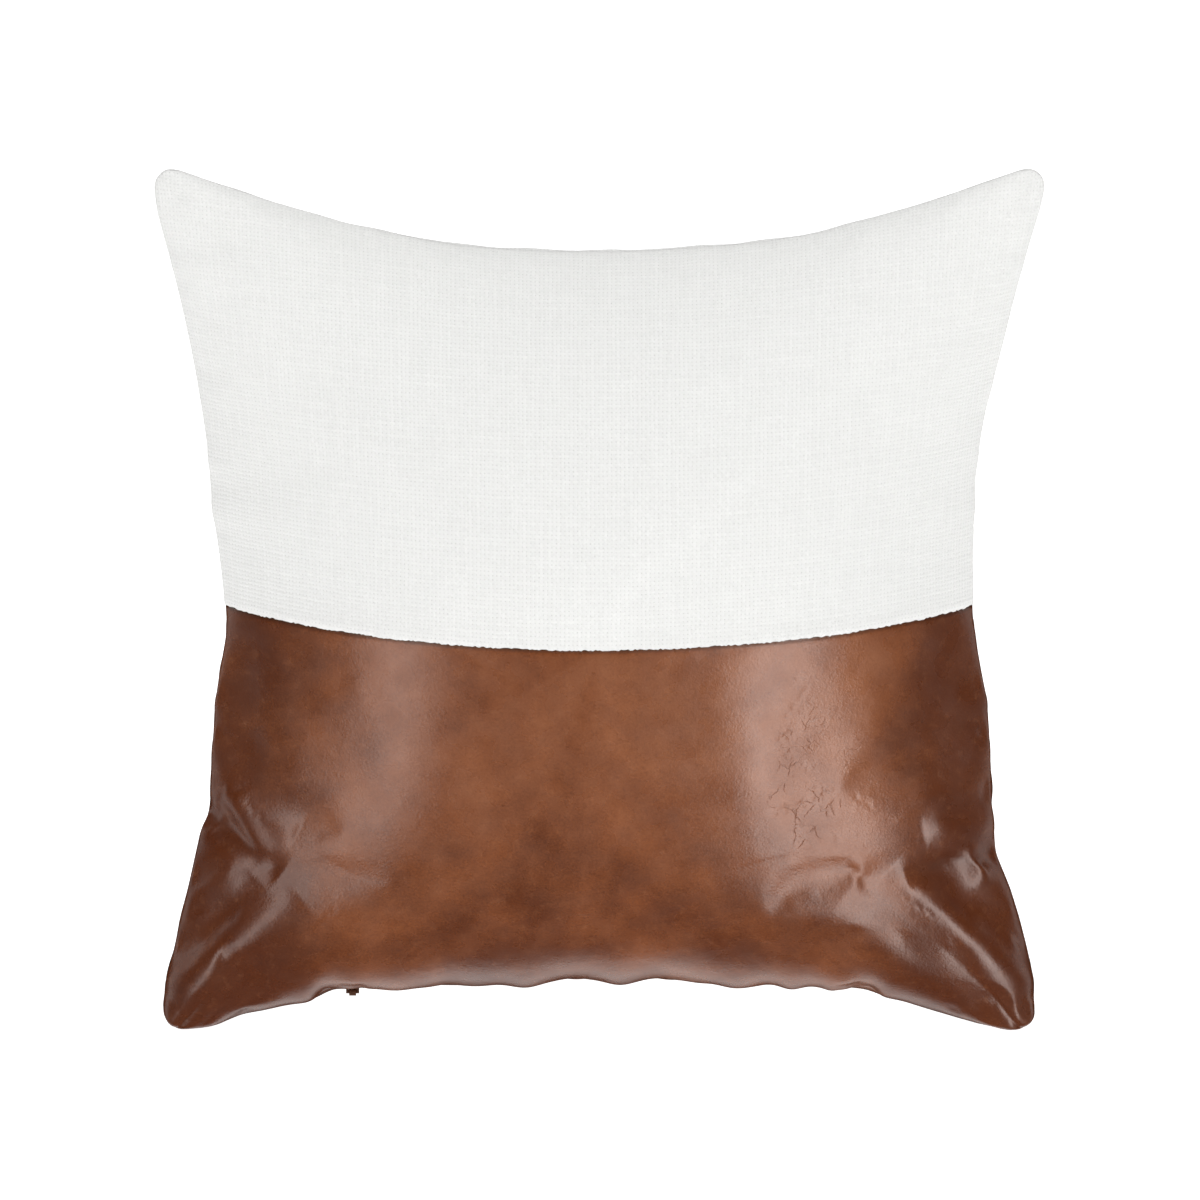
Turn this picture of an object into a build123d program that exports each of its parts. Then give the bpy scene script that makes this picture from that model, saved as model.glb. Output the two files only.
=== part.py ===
"""Throw pillow: a two-tone sewn cover with a concealed zip, over a fibre-filled insert.

Millimetres. +Z is up and the front face looks along -Y. The pillow stands on its two
bottom corners, and the origin is under its middle at their level. Front and back are
alike, so each soft shape is built as a front half and mirrored where it is whole.
"""

import os
from math import comb, cos, radians, sin

from build123d import *

os.makedirs("parts", exist_ok=True)

# Stuffed cover: the tips are where its edges would meet if they were not rounded
WIDTH = 430.0
HEIGHT = 431.0
HALF_THICKNESS = 85.0
CORNER_RADIUS = 10.0
TIP_X = 220.6
TOP_TIP_Z = 436.0
BOTTOM_TIP_Z = -20.0
SIDE_SAG = 39.1
TOP_SAG = 46.3
BOTTOM_SAG = 43.6
CROSS_SEAM_Z = 214.0

# Cloth, leather and their turned-in allowances
SKIN = 1.2
LAP = 12.0
FLANGE = 8.0
THREAD = 0.6

# Insert: smaller than the cover all round, and clear of the zip below it
INSERT_TIP_X = 203.0
INSERT_TOP_TIP_Z = 418.0
INSERT_BOTTOM_TIP_Z = 10.0
INSERT_SIDE_SAG = 31.5
INSERT_TOP_SAG = 39.5
INSERT_BOTTOM_SAG = 34.0
INSERT_GAP = 3.0
CASING = 0.8
THREAD_INSET = 1.5
CLOSING_STITCHES = 16
CLOSING_PITCH = 6.0
LABEL = 0.4

# Concealed zip in the bottom seam
SLIT_LENGTH = 262.0
SLIT_HALF_WIDTH = 1.3
CHAIN_LENGTH = 253.0
TOOTH_COUNT = 83
TOOTH_PITCH = 3.0
TOOTH_WIDTH = 1.1
TOOTH_REACH = 1.1
SPINE = 1.1
ROW_HALF_WIDTH = 2.6
TEETH_Z = 32.0
TEETH_HEIGHT = 1.8
TAPE_Z = 36.4
TAPE_THICKNESS = 0.6
TAPE_EDGE = 0.3
SLIDER_X = -121.0
SLIDER_LENGTH = 9.0
SLIDER_WIDTH = 7.6
SLIDER_HEIGHT = 5.0
SLIDER_WALL = 0.9
PIVOT_Z = 17.4
PIN_RADIUS = 0.8
PIN_CLEARANCE = 0.08
EYE_WIDTH = 3.4
EYE_RADIUS = 1.9
PULL_LENGTH = 13.0
PULL_RADIUS = 3.0
PULL_THICKNESS = 1.2
PULL_ANGLE = radians(20)

DEGREE = 12
FAR = 300.0
WIDE = (-FAR, FAR)
TALL = (-FAR, 2 * FAR)
FRONT = (-FAR, 0)
SLIT = (-SLIT_LENGTH / 2, SLIT_LENGTH / 2)


def curve_height(values, t):
    """The height of a Bezier curve with these evenly spaced control heights."""
    return sum(
        comb(DEGREE, i) * t**i * (1 - t) ** (DEGREE - i) * value
        for i, value in enumerate(values)
    )


def controls(profile):
    """Control heights of a Bezier curve that follows a profile over -1 to 1."""
    wanted = [profile(2 * i / DEGREE - 1) for i in range(DEGREE + 1)]
    values = list(wanted)
    for _ in range(5):
        misses = [
            want - curve_height(values, i / DEGREE) for i, want in enumerate(wanted)
        ]
        values = [value + miss for value, miss in zip(values, misses)]
    return values


def fullness(t):
    """How far the stuffing fills the cover, from 1 in the middle to 0 at a seam."""
    return max(0.0, 1 - abs(t) ** 2.2) ** 0.62


ALONG = controls(lambda t: t)
SIDE_CURVE = controls(lambda t: 1 - abs(t) ** 1.8)
TOP_CURVE = controls(lambda t: 1 - t**2)
FULL_CURVE = controls(fullness)
CORNER_CURVE = controls(lambda t: t**4 * fullness(t))
COVER_BOTTOM = controls(lambda t: 1 - abs(t) ** 4.1)
INSERT_BOTTOM = controls(lambda t: 1 - t**6)


def half_cushion(tip_x, tips_z, side_sag, top_sag, bottom_sag, bottom_curve, half):
    """The front half of a pillow: one Bezier face, closed flat where its seam lies."""
    middle_z = sum(tips_z) / 2
    half_height = (tips_z[1] - tips_z[0]) / 2
    net = []
    for j in range(DEGREE + 1):
        row = []
        for i in range(DEGREE + 1):
            x = ALONG[i] * (tip_x - side_sag * SIDE_CURVE[j])
            z = middle_z + ALONG[j] * half_height
            z -= (1 + ALONG[j]) / 2 * top_sag * TOP_CURVE[i]
            z += (1 - ALONG[j]) / 2 * bottom_sag * bottom_curve[i]
            swell = FULL_CURVE[i] * FULL_CURVE[j]
            swell += 1.2 * CORNER_CURVE[i] * CORNER_CURVE[j]
            row.append((x, -half * swell, z))
        net.append(row)
    crown = Face.make_bezier_surface(net)
    flat = Face(Wire(crown.edges()))
    return Solid(Shell([crown, flat]))


def cover_form(inset, depth):
    """The cover's front half, taken in by inset at its seams and depth on its face."""
    body = half_cushion(
        TIP_X - inset * 1.35,
        (BOTTOM_TIP_Z + inset * 1.35, TOP_TIP_Z - inset * 1.35),
        SIDE_SAG - inset * 0.35,
        TOP_SAG - inset * 0.35,
        BOTTOM_SAG - inset * 0.35,
        COVER_BOTTOM,
        HALF_THICKNESS - depth,
    )
    corner = max(CORNER_RADIUS - inset, 3.0)
    with BuildPart() as form:
        add(body)
        with BuildSketch(Plane.XZ):
            with Locations((0, HEIGHT / 2)):
                RectangleRounded(WIDTH - 2 * inset, HEIGHT - 2 * inset, corner)
        extrude(amount=FAR, both=True, mode=Mode.INTERSECT)
    return form.part


def insert_form(inset, depth):
    """The insert's front half, taken in by inset at its seam and depth on its face."""
    return half_cushion(
        INSERT_TIP_X - inset * 1.35,
        (INSERT_BOTTOM_TIP_Z + inset * 1.35, INSERT_TOP_TIP_Z - inset * 1.35),
        INSERT_SIDE_SAG - inset * 0.35,
        INSERT_TOP_SAG - inset * 0.35,
        INSERT_BOTTOM_SAG - inset * 0.35,
        INSERT_BOTTOM,
        HALF_THICKNESS - INSERT_GAP - depth,
    )


def block(x, y, z):
    """A block between two limits along each axis."""
    centre = (sum(x) / 2, sum(y) / 2, sum(z) / 2)
    size = (x[1] - x[0], y[1] - y[0], z[1] - z[0])
    return Pos(*centre) * Box(*size, mode=Mode.PRIVATE)


def layer(outside, inside, region):
    """What lies between two nested forms within a block."""
    with BuildPart() as part:
        add(outside)
        add(region, mode=Mode.INTERSECT)
        add(inside, mode=Mode.SUBTRACT)
    return part.part


def save(part, name):
    """Name a finished piece and write its file."""
    part.label = name
    export_step(part, f"parts/{name}.step")


def save_pair(part, front_name, back_name):
    """Write a front piece and its mirror image at the back."""
    save(part, front_name)
    save(mirror(part, about=Plane.XZ), back_name)


outer_form = cover_form(0, 0)
inner_form = cover_form(SKIN, SKIN)
thread_form = cover_form(SKIN + THREAD, SKIN + THREAD)
lap_form = cover_form(2 * SKIN, 2 * SKIN)
flange_form = cover_form(SKIN + FLANGE, 2 * SKIN + 0.1)
insert_outer = insert_form(0, 0)
insert_inner = insert_form(CASING, CASING)
fill_form = insert_form(THREAD_INSET + THREAD + 0.3, CASING + 0.3)

# The thread round the sides and top, just inside the edge
with BuildPart() as half_thread:
    add(inner_form)
    add(block(WIDE, (-THREAD / 2, THREAD), TALL), mode=Mode.INTERSECT)
    add(thread_form, mode=Mode.SUBTRACT)
    add(block(SLIT, WIDE, (-FAR, TAPE_Z)), mode=Mode.SUBTRACT)

with BuildPart() as side_seam_stitching:
    add(half_thread.part)
    mirror(about=Plane.XZ)

save(side_seam_stitching.part, "side_seam_stitching")

# The thread along each cross seam, between the two allowances folded back from it
seam_band = (CROSS_SEAM_Z - THREAD / 2, CROSS_SEAM_Z + THREAD / 2)
with BuildPart() as front_cross_seam_stitching:
    add(layer(inner_form, thread_form, block(WIDE, (-FAR, -SKIN), seam_band)))

save_pair(
    front_cross_seam_stitching.part,
    "front_cross_seam_stitching",
    "back_cross_seam_stitching",
)

# The hollow in the front of the cover. Allowances lie folded back against the panels
# along the cross seam and the zip, and stand in the middle plane round the rest.
upper_lap = (CROSS_SEAM_Z + THREAD / 2, CROSS_SEAM_Z + LAP)
lower_lap = (CROSS_SEAM_Z - LAP, CROSS_SEAM_Z - THREAD / 2)
zip_lap = (-FAR, TAPE_Z + TAPE_THICKNESS)
with BuildPart() as front_hollow:
    add(inner_form)
    add(block(WIDE, (-FAR, -SKIN), TALL), mode=Mode.INTERSECT)
    add(layer(inner_form, lap_form, block(WIDE, FRONT, upper_lap)), mode=Mode.SUBTRACT)
    add(layer(inner_form, lap_form, block(WIDE, FRONT, lower_lap)), mode=Mode.SUBTRACT)
    add(layer(inner_form, lap_form, block(SLIT, FRONT, zip_lap)), mode=Mode.SUBTRACT)

with BuildPart() as front_fabric_panel:
    add(outer_form)
    add(block(WIDE, FRONT, (CROSS_SEAM_Z, 2 * FAR)), mode=Mode.INTERSECT)
    add(flange_form, mode=Mode.SUBTRACT)
    add(front_hollow.part, mode=Mode.SUBTRACT)
    add(half_thread.part, mode=Mode.SUBTRACT)

save_pair(front_fabric_panel.part, "front_fabric_panel", "back_fabric_panel")

with BuildPart() as front_leather_panel:
    add(outer_form)
    add(block(WIDE, FRONT, (-FAR, CROSS_SEAM_Z)), mode=Mode.INTERSECT)
    add(flange_form, mode=Mode.SUBTRACT)
    add(front_hollow.part, mode=Mode.SUBTRACT)
    add(half_thread.part, mode=Mode.SUBTRACT)
    slit = (-SLIT_HALF_WIDTH, SLIT_HALF_WIDTH)
    add(block(SLIT, slit, (-FAR, TAPE_Z + TAPE_THICKNESS)), mode=Mode.SUBTRACT)

save_pair(front_leather_panel.part, "front_leather_panel", "back_leather_panel")

# The insert: two casing halves, their seam, the closing stitches and the filling
with BuildPart() as insert_casing_front:
    add(layer(insert_outer, insert_inner, block(WIDE, FRONT, TALL)))

save_pair(insert_casing_front.part, "insert_casing_front", "insert_casing_back")

thread_outside = insert_form(THREAD_INSET, 0).faces().sort_by(Axis.Y)[-1]
thread_inside = insert_form(THREAD_INSET + THREAD, 0).faces().sort_by(Axis.Y)[-1]
with BuildPart() as insert_seam_stitching:
    extrude(thread_outside, amount=THREAD / 2, both=True)
    extrude(thread_inside, amount=THREAD, both=True, mode=Mode.SUBTRACT)
    add(block(WIDE, FRONT, TALL), mode=Mode.INTERSECT)
    add(insert_form(CASING + 0.1, CASING + 0.1), mode=Mode.INTERSECT)
    mirror(about=Plane.XZ)

save(insert_seam_stitching.part, "insert_seam_stitching")

with BuildPart() as insert_closing_stitches:
    add(insert_form(-0.6, -0.6))
    with BuildSketch(Plane.XY.offset(INSERT_BOTTOM_TIP_Z)):
        with GridLocations(CLOSING_PITCH, 0, CLOSING_STITCHES, 1):
            Rectangle(0.5, 6.4)
    extrude(amount=INSERT_BOTTOM_SAG + 2.4, mode=Mode.INTERSECT)
    add(insert_form(-0.05, -0.05), mode=Mode.SUBTRACT)
    mirror(about=Plane.XZ)

save(insert_closing_stitches.part, "insert_closing_stitches")

with BuildPart() as fibre_fill:
    add(fill_form)
    mirror(about=Plane.XZ)

save(fibre_fill.part, "fibre_fill")

# Blank labels: one in the cover's left seam at the back, one on the insert's front
label_depth = SKIN + 0.2
label_place = block((-184, -140), (-FAR, -SKIN - 0.1), (110, 135))
label_outside = cover_form(label_depth, label_depth)
label_inside = cover_form(label_depth + LABEL, label_depth + LABEL)
with BuildPart() as cover_care_label:
    add(mirror(layer(label_outside, label_inside, label_place), about=Plane.XZ))

save(cover_care_label.part, "cover_care_label")

insert_label_place = block((115, 150), (-FAR, -1), (70, 110))
with BuildPart() as insert_care_label:
    outside = insert_form(-0.1 - LABEL, -0.1 - LABEL)
    add(layer(outside, insert_form(-0.1, -0.1), insert_label_place))

save(insert_care_label.part, "insert_care_label")

# The zip. Each tape lies across the seam with a web down to its row of teeth.
tape_length = (-SLIT_LENGTH / 2 + 0.4, SLIT_LENGTH / 2 - 0.4)
web_y = (-TAPE_EDGE - TAPE_THICKNESS, -TAPE_EDGE)
with BuildPart() as zipper_tape_front:
    add(lap_form)
    flat_z = (TAPE_Z, TAPE_Z + TAPE_THICKNESS)
    add(block(tape_length, (-FAR, -TAPE_EDGE), flat_z), mode=Mode.INTERSECT)
    add(block(tape_length, web_y, (TEETH_Z + TEETH_HEIGHT, TAPE_Z)))

save_pair(zipper_tape_front.part, "zipper_tape_front", "zipper_tape_back")

with BuildPart() as zipper_teeth_front:
    with BuildSketch(Plane.XY.offset(TEETH_Z)):
        with Locations((0, SPINE / 2 - ROW_HALF_WIDTH)):
            Rectangle(CHAIN_LENGTH, SPINE)
        reach = TOOTH_REACH + ROW_HALF_WIDTH - SPINE
        with Locations((TOOTH_PITCH / 4, TOOTH_REACH - reach / 2)):
            with GridLocations(TOOTH_PITCH, 0, TOOTH_COUNT, 1):
                Rectangle(TOOTH_WIDTH, reach)
    extrude(amount=TEETH_HEIGHT)

save(zipper_teeth_front.part, "zipper_teeth_front")
save(zipper_teeth_front.part.rotate(Axis.Z, 180), "zipper_teeth_back")

# Two stops at the closed end, one on each tape, and one across both at the other end
stop_z = (TEETH_Z, TAPE_Z)
stop_x = (-CHAIN_LENGTH / 2 - 3.2, -CHAIN_LENGTH / 2 - 1.0)
with BuildPart() as zipper_top_stops:
    add(block(stop_x, (-ROW_HALF_WIDTH, web_y[0]), stop_z))
    mirror(about=Plane.XZ)

save(zipper_top_stops.part, "zipper_top_stops")

with BuildPart() as zipper_bottom_stop:
    far_stop_x = (CHAIN_LENGTH / 2 + 0.4, CHAIN_LENGTH / 2 + 3.2)
    far_stop_z = (TEETH_Z - 0.4, TEETH_Z + TEETH_HEIGHT)
    add(block(far_stop_x, (-ROW_HALF_WIDTH, ROW_HALF_WIDTH), far_stop_z))
    fillet(zipper_bottom_stop.edges().filter_by(Axis.Y), 0.4)

save(zipper_bottom_stop.part, "zipper_bottom_stop")

# The stitches that hold each tape to its allowance
with BuildPart() as zipper_stitching:
    with BuildSketch(Plane.XY.offset(TAPE_Z + TAPE_THICKNESS)):
        with GridLocations(TOOTH_PITCH, 17.0, TOOTH_COUNT, 2):
            Rectangle(2.2, 0.5)
    extrude(amount=0.3)

save(zipper_stitching.part, "zipper_stitching")

# The slider: a channel round the teeth, a neck through the slit, and a pin below it
channel_z = TEETH_Z + TEETH_HEIGHT / 2
with BuildPart() as zipper_slider:
    with BuildSketch(Plane.YZ.offset(SLIDER_X)):
        with Locations((0, channel_z)):
            RectangleRounded(SLIDER_WIDTH, SLIDER_HEIGHT, 0.8)
            Rectangle(
                SLIDER_WIDTH - 2 * SLIDER_WALL,
                SLIDER_HEIGHT - 2 * SLIDER_WALL,
                mode=Mode.SUBTRACT,
            )
        with Locations((0, channel_z + SLIDER_HEIGHT / 2)):
            Rectangle(2 * SLIT_HALF_WIDTH, 2 * SLIDER_HEIGHT / 2, mode=Mode.SUBTRACT)
    extrude(amount=SLIDER_LENGTH / 2, both=True)
    neck_x = (SLIDER_X - 3.2, SLIDER_X + 3.2)
    neck_z = (PIVOT_Z + 2.4, channel_z - SLIDER_HEIGHT / 2 + 0.2)
    add(block(neck_x, (-0.9, 0.9), neck_z))
    for side in (-1, 1):
        cheek_x = sorted((SLIDER_X + side * 2.0, SLIDER_X + side * 3.2))
        add(block(cheek_x, (-0.9, 0.9), (PIVOT_Z, neck_z[0])))
    with BuildSketch(Plane.YZ.offset(SLIDER_X - 3.2)):
        with Locations((0, PIVOT_Z)):
            Circle(PIN_RADIUS)
    extrude(amount=6.4)

save(zipper_slider.part, "zipper_slider")

# The pull lies folded back under the rear panel
pull_plane = Plane(
    origin=(SLIDER_X, 0, PIVOT_Z),
    x_dir=(1, 0, 0),
    z_dir=(0, -sin(PULL_ANGLE), cos(PULL_ANGLE)),
)
with BuildPart() as zipper_pull_tab:
    with BuildSketch(Plane.YZ.offset(SLIDER_X - EYE_WIDTH / 2)):
        with Locations((0, PIVOT_Z)):
            Circle(EYE_RADIUS)
    extrude(amount=EYE_WIDTH)
    with BuildSketch(pull_plane):
        with BuildLine():
            Polyline(
                (-EYE_WIDTH / 2, 0),
                (EYE_WIDTH / 2, 0),
                (PULL_RADIUS, PULL_LENGTH - PULL_RADIUS),
                (-PULL_RADIUS, PULL_LENGTH - PULL_RADIUS),
                close=True,
            )
        make_face()
        with Locations((0, PULL_LENGTH - PULL_RADIUS)):
            Circle(PULL_RADIUS)
            Circle(PULL_RADIUS / 2, mode=Mode.SUBTRACT)
    extrude(amount=PULL_THICKNESS / 2, both=True)
    with BuildSketch(Plane.YZ.offset(SLIDER_X - EYE_WIDTH)):
        with Locations((0, PIVOT_Z)):
            Circle(PIN_RADIUS + PIN_CLEARANCE)
    extrude(amount=2 * EYE_WIDTH, mode=Mode.SUBTRACT)

save(zipper_pull_tab.part, "zipper_pull_tab")
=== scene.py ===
"""The throw pillow as it looks: a stuffed cover of woven cloth over brown leather."""

from math import cos, pi, radians, sin

import bpy
import numpy as np
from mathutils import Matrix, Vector
from mathutils.bvhtree import BVHTree


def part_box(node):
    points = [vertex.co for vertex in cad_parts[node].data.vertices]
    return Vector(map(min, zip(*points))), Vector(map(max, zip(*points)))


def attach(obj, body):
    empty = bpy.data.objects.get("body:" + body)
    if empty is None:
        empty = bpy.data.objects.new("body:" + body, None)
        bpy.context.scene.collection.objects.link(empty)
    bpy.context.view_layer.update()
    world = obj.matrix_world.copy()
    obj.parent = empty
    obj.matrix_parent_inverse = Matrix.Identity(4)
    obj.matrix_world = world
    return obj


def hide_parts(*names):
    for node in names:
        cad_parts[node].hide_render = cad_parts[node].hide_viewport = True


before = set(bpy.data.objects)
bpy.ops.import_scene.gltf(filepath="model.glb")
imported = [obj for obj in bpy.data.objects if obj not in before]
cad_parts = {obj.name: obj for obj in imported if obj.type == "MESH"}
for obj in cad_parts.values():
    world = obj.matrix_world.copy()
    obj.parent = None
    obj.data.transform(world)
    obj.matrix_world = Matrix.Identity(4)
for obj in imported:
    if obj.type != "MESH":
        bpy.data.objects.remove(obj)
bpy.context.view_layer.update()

# ---------------------------------------------------------------- size of the part
fabric_low, fabric_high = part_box("front_fabric_panel")
pull_low, pull_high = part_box("zipper_pull_tab")
SEAM_Z = fabric_low.z
TOP_Z = fabric_high.z
HALF_WIDTH = fabric_high.x
FRONT_DEPTH = -fabric_low.y
BACK_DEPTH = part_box("back_leather_panel")[1].y
SLIT_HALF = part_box("zipper_tape_front")[1].x
PULL_X = -(pull_low.x + pull_high.x) / 2

# How far the camera looks down
VIEW_TILT = radians(14.5)

# Where the edges would meet if they were not rounded, and how far each is drawn in
TIP_X = HALF_WIDTH + 0.0056
TIP_TOP = TOP_Z + 0.005
TIP_BOTTOM = -0.020
SIDE_SAG = 0.0391
TOP_SAG = 0.0463
BOTTOM_SAG = 0.0436
CORNER_ROUND = 0.07
TIP_ROUND = 0.0115
REACH = 0.0003

# The seams: the slit over the zip, how far edges turn in, and the threads inside
SLIT_GAP = 0.0013
TURN_IN = 0.0010
THREAD_RADIUS = 0.0003
THREAD_DEPTH = 0.0042

# How far the leather lifts over the zip's pull, and how far to each side of it
PULL_GIVE = 0.0016
PULL_REACH = 0.0070

# Small gathers round the edges, and the slow unevenness of the stuffing
BOTTOM_GATHER = 0.0006
TOP_GATHER = 0.0007
CLOTH_SIDE_GATHER = 0.0006
LEATHER_SIDE_GATHER = 0.0009
LUMPS = 0.0009

# The leather's dip at the cross seam, narrow and wide, and how proud the cloth stands
NARROW_DIP = 0.0016
WIDE_DIP = 0.0008
CLOTH_PROUD = 0.0007

# The cloth's cut edge at the cross seam
EDGE_LIFT = 0.0003
EDGE_HANG = 0.0010
THREAD_JAG = 0.00035
SLOW_JAG = 0.0004

# The insert as shares of the cover's size, its room under the cover, and the filling
CASING_SHARE = 0.935
CASING_DEPTH_SHARE = 0.93
CASING_BOTTOM_SHARE = 0.885
CASING_ROOM = 0.003
FILLING_SHARE = 0.985
LABEL_THICKNESS = 0.0004
COVER_LABEL_DEPTH = 0.0014
INSERT_LABEL_DEPTH = -0.0008

# Points to a side in the simulated grid, and how much of the motion is kept
COARSE = 91
FINER = 4
SIM_FRAMES = 30
BROAD_SHARE = 0.25
CLOTH_SHARE = 0.30
LEATHER_SHARE = 0.62
MOTION_CAP = 0.006

# How much further out than an even curve the edges lie, in mm: (place, how far)
LEFT_EDGE = [
    (0, 2.0),
    (10, 3.2),
    (25, 5.3),
    (40, 4.6),
    (55, 5.3),
    (70, 4.4),
    (85, 3.9),
    (100, 3.2),
    (108, 0.2),
    (122, 0.8),
    (135, 2.9),
    (150, 3.3),
    (162, 3.9),
    (180, 2.7),
    (200, 0.4),
    (214, 1.2),
    (235, 2.9),
    (262, 4.7),
    (295, 3.0),
    (330, 2.3),
    (360, 1.9),
    (420, 1.7),
]
RIGHT_EDGE = [
    (0, 0.3),
    (10, 1.4),
    (25, 4.9),
    (40, 5.3),
    (55, 4.9),
    (70, 3.4),
    (80, 1.2),
    (88, -0.6),
    (100, 0.8),
    (115, 1.6),
    (130, 3.4),
    (150, 4.6),
    (165, 4.9),
    (180, 3.2),
    (205, 0.5),
    (235, -0.5),
    (265, -2.2),
    (285, -3.6),
    (310, -3.4),
    (335, -1.6),
    (360, -1.0),
    (420, 0.0),
]
BOTTOM_EDGE = [
    (-215, 0.0),
    (-184, 0.6),
    (-170, 1.2),
    (-155, 3.4),
    (-141, 4.4),
    (-133, 1.0),
    (-126, 0.4),
    (-117, 0.4),
    (-108, 1.4),
    (-97, 1.9),
    (-68, 3.2),
    (-39, 1.0),
    (-10, 0.0),
    (49, 0.0),
    (66, 1.6),
    (78, 2.7),
    (92, 1.9),
    (108, 1.2),
    (122, 0.5),
    (130, 0.6),
    (138, 2.4),
    (150, 2.6),
    (165, 3.4),
    (180, 1.5),
    (215, 0.0),
]
TOP_EDGE = [
    (-215, 1.5),
    (-199, 1.6),
    (-170, 1.5),
    (-126, 0.0),
    (-68, -1.4),
    (-39, -0.5),
    (0, 0.0),
    (49, 0.0),
    (78, -1.0),
    (107, -1.4),
    (121, 0.0),
    (150, 0.5),
    (180, 1.5),
    (215, 1.5),
]

# ---------------------------------------------------------------- the resting form


def drawn(edge, places):
    """The extra distance of an edge at these places, in metres, without corners."""
    across, out = np.array(edge).T / 1000
    fine = np.linspace(across[0], across[-1], 400)
    values = np.interp(fine, across, out)
    kernel = np.hanning(15) / np.hanning(15).sum()
    values = np.convolve(np.pad(values, 7, "edge"), kernel, "valid")
    return np.interp(places, fine, values)


def fullness(t):
    """From 1 in the middle of a panel to 0 at its seam."""
    return np.clip(1 - np.abs(t) ** 2.2, 0, 1) ** 0.66


def smooth(value, low, high):
    """0 below low, 1 above high and an easy curve between."""
    t = np.clip((value - low) / (high - low), 0, 1)
    return t * t * (3 - 2 * t)


def across_fullness(a, b):
    """Fullness from side to side: slim at the sides, squarer down by the zip."""
    slim = np.clip(1 - a**2, 0, 1) ** 0.80
    return slim + (1.03 * fullness(a) - slim) * smooth(-b, 0.60, 0.90)


def spread(count):
    """Places from -1 to 1, closer together towards both ends."""
    t = np.linspace(-1, 1, count)
    return 0.80 * t + 0.20 * np.sin(t * pi / 2)


def rounded(a, b):
    """Moves places on a square so that its corners become round."""
    size = np.maximum(np.abs(a), np.abs(b))
    safe = np.maximum(size, 1e-9)
    edge = np.stack([a / safe, b / safe], -1)
    core = np.clip(edge, -(1 - CORNER_ROUND), 1 - CORNER_ROUND)
    away = edge - core
    length = np.maximum(np.linalg.norm(away, axis=-1, keepdims=True), 1e-9)
    arc = core + CORNER_ROUND * away / length
    moved = edge + (arc - edge) * (size**10)[..., None]
    return size * moved[..., 0], size * moved[..., 1]


def kept_inside(x, z):
    """Presses the tips of the corners into a rectangle with rounded corners."""
    wide, tall = HALF_WIDTH + REACH, TOP_Z + REACH
    core_x = np.clip(x, -(wide - TIP_ROUND), wide - TIP_ROUND)
    core_z = np.clip(z, TIP_ROUND, tall - TIP_ROUND)
    length = np.maximum(np.hypot(x - core_x, z - core_z), 1e-9)
    free, give = 0.75 * TIP_ROUND, 0.25 * TIP_ROUND
    pressed = free + give * (1 - np.exp(-np.maximum(length - free, 0) / give))
    kept = np.minimum(length, np.where(length > free, pressed, length)) / length
    return core_x + (x - core_x) * kept, core_z + (z - core_z) * kept


def form(a, b, depth):
    """The stuffed shape of one face before it creases; depth is signed."""
    u, v = rounded(a, b)
    middle = (TIP_TOP + TIP_BOTTOM) / 2
    half = (TIP_TOP - TIP_BOTTOM) / 2
    x = u * (TIP_X - SIDE_SAG * (1 - np.abs(v) ** 1.8))
    top_curve, bottom_curve = 1 - u**2, 1 - np.abs(u) ** 4.1
    z = middle + v * half
    z = z - (1 + v) / 2 * TOP_SAG * top_curve
    z = z + (1 - v) / 2 * BOTTOM_SAG * bottom_curve
    at_seam = middle - TOP_SAG / 2 * top_curve + BOTTOM_SAG / 2 * bottom_curve
    z = z + (SEAM_Z - at_seam) * (1 - np.abs(v)) ** 2
    x_plain, z_plain = x, z
    side = np.where(u < 0, -drawn(LEFT_EDGE, z_plain), drawn(RIGHT_EDGE, z_plain))
    x = x + side * np.abs(u) ** 6
    z = z + drawn(TOP_EDGE, x_plain) * np.maximum(v, 0) ** 6
    z = z - drawn(BOTTOM_EDGE, x_plain) * np.maximum(-v, 0) ** 6
    y = depth * across_fullness(a, b) * fullness(b) * (1 + 1.2 * a**4 * b**4)
    x, z = kept_inside(x, z)
    return np.stack([x, y, z], -1)


def quads(rows, columns, flip=False):
    """The faces of a grid of points, row by row."""
    index = np.arange(rows * columns).reshape(rows, columns)
    faces = np.stack(
        [index[:-1, :-1], index[:-1, 1:], index[1:, 1:], index[1:, :-1]], -1
    ).reshape(-1, 4)
    return faces[:, ::-1] if flip else faces


def mesh_of(name, points, faces):
    mesh = bpy.data.meshes.new(name)
    mesh.from_pydata([], [], [])
    mesh.vertices.add(len(points))
    mesh.vertices.foreach_set("co", np.asarray(points, np.float32).ravel())
    faces = np.asarray(faces, np.int32)
    mesh.loops.add(faces.size)
    mesh.loops.foreach_set("vertex_index", faces.ravel())
    mesh.polygons.add(len(faces))
    sides = faces.shape[1]
    mesh.polygons.foreach_set("loop_start", np.arange(len(faces)) * sides)
    mesh.update(calc_edges=True)
    mesh.validate()
    mesh.polygons.foreach_set("use_smooth", np.ones(len(mesh.polygons), bool))
    made = bpy.data.objects.new(name, mesh)
    bpy.context.scene.collection.objects.link(made)
    return made


# ---------------------------------------------------------------- cloth simulation

steps = spread(COARSE)
grid_a, grid_b = np.meshgrid(steps, steps)
front_form = form(grid_a, grid_b, -FRONT_DEPTH)
back_form = form(grid_a, grid_b, BACK_DEPTH)


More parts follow.
